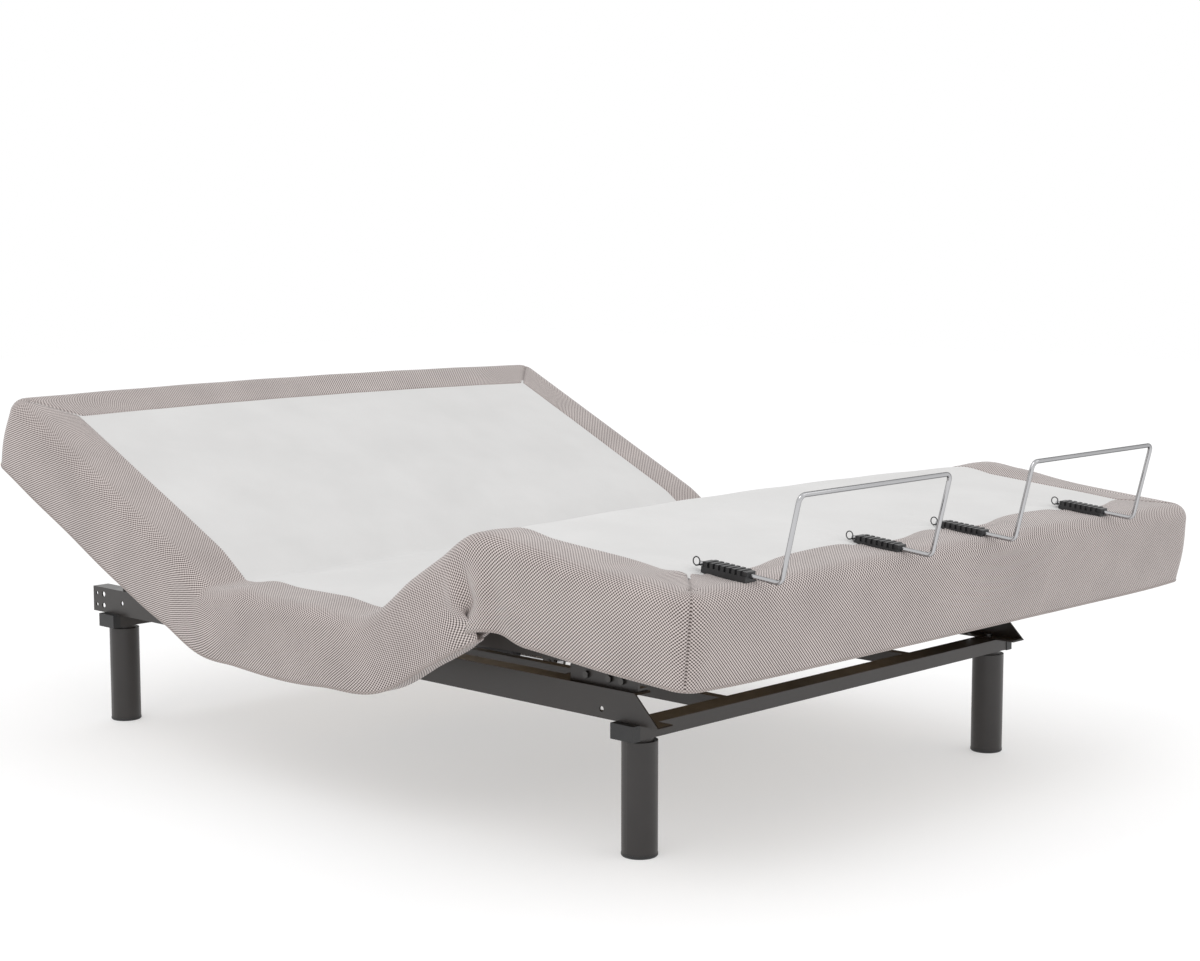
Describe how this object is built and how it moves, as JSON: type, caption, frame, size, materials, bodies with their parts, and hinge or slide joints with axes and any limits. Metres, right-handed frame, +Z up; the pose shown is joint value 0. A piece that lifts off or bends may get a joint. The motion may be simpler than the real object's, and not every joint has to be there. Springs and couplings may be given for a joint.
{
  "type": "adjustable bed base",
  "caption": "Powered bed base with a padded platform hinged into head, seat, thigh and foot sections on a steel frame with screw-in legs and wire mattress retainers.",
  "frame": {"origin": "floor level under the middle of the whole object in its raised resting position", "axes": "+Y towards the head end, +X to the right seen from the foot end, +Z up"},
  "size_m": [1.524, 2.06, 0.7193],
  "materials": {
    "frame_paint": "satin dark brown-black powder coat",
    "leg_paint": "satin charcoal powder coat",
    "black_plastic": "moulded, fine grain",
    "fasteners": "zinc plated",
    "actuator_plastic": "moulded, fine grain",
    "cable_rubber": "matt",
    "deck_wood": "raw panel",
    "foam": "open-cell foam",
    "cover_mesh": "two-tone knitted spacer mesh",
    "top_cloth": "smooth non-woven cloth",
    "chrome_rod": "polished plate",
    "rod_steel": "ground",
    "roller_nylon": "natural nylon"
  },
  "bodies": {
    "base_frame": {"side_rail_left": "frame_paint", "side_rail_right": "frame_paint", "foot_cross_tube": "frame_paint", "head_cross_tube": "frame_paint", "tube_end_caps": "black_plastic", "cross_members": "frame_paint", "support_rails": "frame_paint", "support_brackets": "frame_paint", "strut_posts": "frame_paint", "leg_mount_plates": "frame_paint", "legs": "leg_paint", "leg_glides": "black_plastic", "frame_bolts": "fasteners", "pivot_bushes": "black_plastic", "actuator_brackets": "frame_paint", "control_box": "actuator_plastic", "motor_cables": "cable_rubber", "cable_clips": "black_plastic", "seat_deck": "deck_wood", "seat_pad": "foam", "seat_border": "foam", "seat_cover": "cover_mesh", "seat_cloth": "top_cloth", "seat_hinge_leaves": "fasteners"},
    "head_section": {"head_deck": "deck_wood", "head_tracks": "frame_paint", "head_pad": "foam", "head_border": "foam", "head_cover": "cover_mesh", "head_cloth": "top_cloth", "head_hinge_leaves": "fasteners"},
    "thigh_section": {"thigh_deck": "deck_wood", "thigh_tracks": "frame_paint", "thigh_pad": "foam", "thigh_border": "foam", "thigh_cover": "cover_mesh", "thigh_cloth": "top_cloth", "thigh_hinge_leaves": "fasteners"},
    "foot_section": {"foot_deck": "deck_wood", "foot_tracks": "frame_paint", "foot_pad": "foam", "foot_border": "foam", "foot_cover": "cover_mesh", "foot_cloth": "top_cloth", "foot_hinge_leaves": "fasteners", "retainer_clips": "black_plastic", "retainer_bar_left": "chrome_rod", "retainer_bar_right": "chrome_rod", "hitch_pins": "fasteners"},
    "foot_struts": {"foot_struts": "frame_paint"},
    "head_lift_frame": {"head_torque_tube": "frame_paint", "head_lift_arms": "frame_paint"},
    "head_rollers": {"head_rollers": "roller_nylon"},
    "knee_lift_frame": {"knee_torque_tube": "frame_paint", "knee_lift_arms": "frame_paint"},
    "knee_rollers": {"knee_rollers": "roller_nylon"},
    "head_actuator": {"head_actuator": "actuator_plastic"},
    "head_rod": {"head_rod": "rod_steel"},
    "knee_actuator": {"knee_actuator": "actuator_plastic"},
    "knee_rod": {"knee_rod": "rod_steel"}
  },
  "joints": [
    {"name": "head_lift", "type": "hinge", "parent": "base_frame", "child": "head_section", "pos_m": [0, 0.28103, 0.345], "axis": [1, 0, 0], "range_deg": [-25.5, 34.5]},
    {"name": "thigh_lift", "type": "hinge", "parent": "base_frame", "child": "thigh_section", "pos_m": [0, -0.17397, 0.345], "axis": [-1, 0, 0], "range_deg": [-31.4, 13.6]},
    {"name": "knee_bend", "type": "hinge", "parent": "thigh_section", "child": "foot_section", "pos_m": [0, -0.45137, 0.51433], "axis": [-1, 0, 0], "range_deg": [-15.83, 36.52]},
    {"name": "foot_strut_swing", "type": "hinge", "parent": "base_frame", "child": "foot_struts", "pos_m": [0, -0.42196, 0.2724], "axis": [-1, 0, 0], "range_deg": [-34.18, 14.82]},
    {"name": "head_arm_swing", "type": "hinge", "parent": "base_frame", "child": "head_lift_frame", "pos_m": [0, 0.15104, 0.27], "axis": [1, 0, 0], "range_deg": [-17.26, 23.34]},
    {"name": "head_roller_spin", "type": "hinge", "parent": "head_lift_frame", "child": "head_rollers", "pos_m": [0, 0.57277, 0.42698], "axis": [1, 0, 0], "continuous": true},
    {"name": "knee_arm_swing", "type": "hinge", "parent": "base_frame", "child": "knee_lift_frame", "pos_m": [0, 0.01103, 0.27], "axis": [-1, 0, 0], "range_deg": [-15.91, 6.9]},
    {"name": "knee_roller_spin", "type": "hinge", "parent": "knee_lift_frame", "child": "knee_rollers", "pos_m": [0, -0.36636, 0.40257], "axis": [-1, 0, 0], "continuous": true},
    {"name": "head_actuator_swing", "type": "hinge", "parent": "base_frame", "child": "head_actuator", "pos_m": [0.12, -0.2524, 0.19673], "axis": [1, 0, 0], "range_deg": [-1.22, 1.64]},
    {"name": "head_rod_slide", "type": "slide", "parent": "head_actuator", "child": "head_rod", "axis": [0, 1, 0], "range_m": [-0.02165, 0.02925]},
    {"name": "knee_actuator_swing", "type": "hinge", "parent": "base_frame", "child": "knee_actuator", "pos_m": [-0.12, 0.41387, 0.19532], "axis": [-1, 0, 0], "range_deg": [-0.84, 0.37]},
    {"name": "knee_rod_slide", "type": "slide", "parent": "knee_actuator", "child": "knee_rod", "axis": [0, -1, 0], "range_m": [-0.0213, 0.00928]}
  ],
  "couplings": [
    {"joint": "knee_bend", "follows": "thigh_lift", "ratio": -1.1624},
    {"joint": "foot_strut_swing", "follows": "thigh_lift", "ratio": 1.088},
    {"joint": "head_arm_swing", "follows": "head_lift", "ratio": 0.676},
    {"joint": "knee_arm_swing", "follows": "thigh_lift", "ratio": 0.506},
    {"joint": "head_actuator_swing", "follows": "head_lift", "ratio": 0.047},
    {"joint": "head_rod_slide", "follows": "head_lift", "m_per_rad": 0.04841},
    {"joint": "knee_actuator_swing", "follows": "thigh_lift", "ratio": 0.026},
    {"joint": "knee_rod_slide", "follows": "thigh_lift", "m_per_rad": 0.03867}
  ]
}
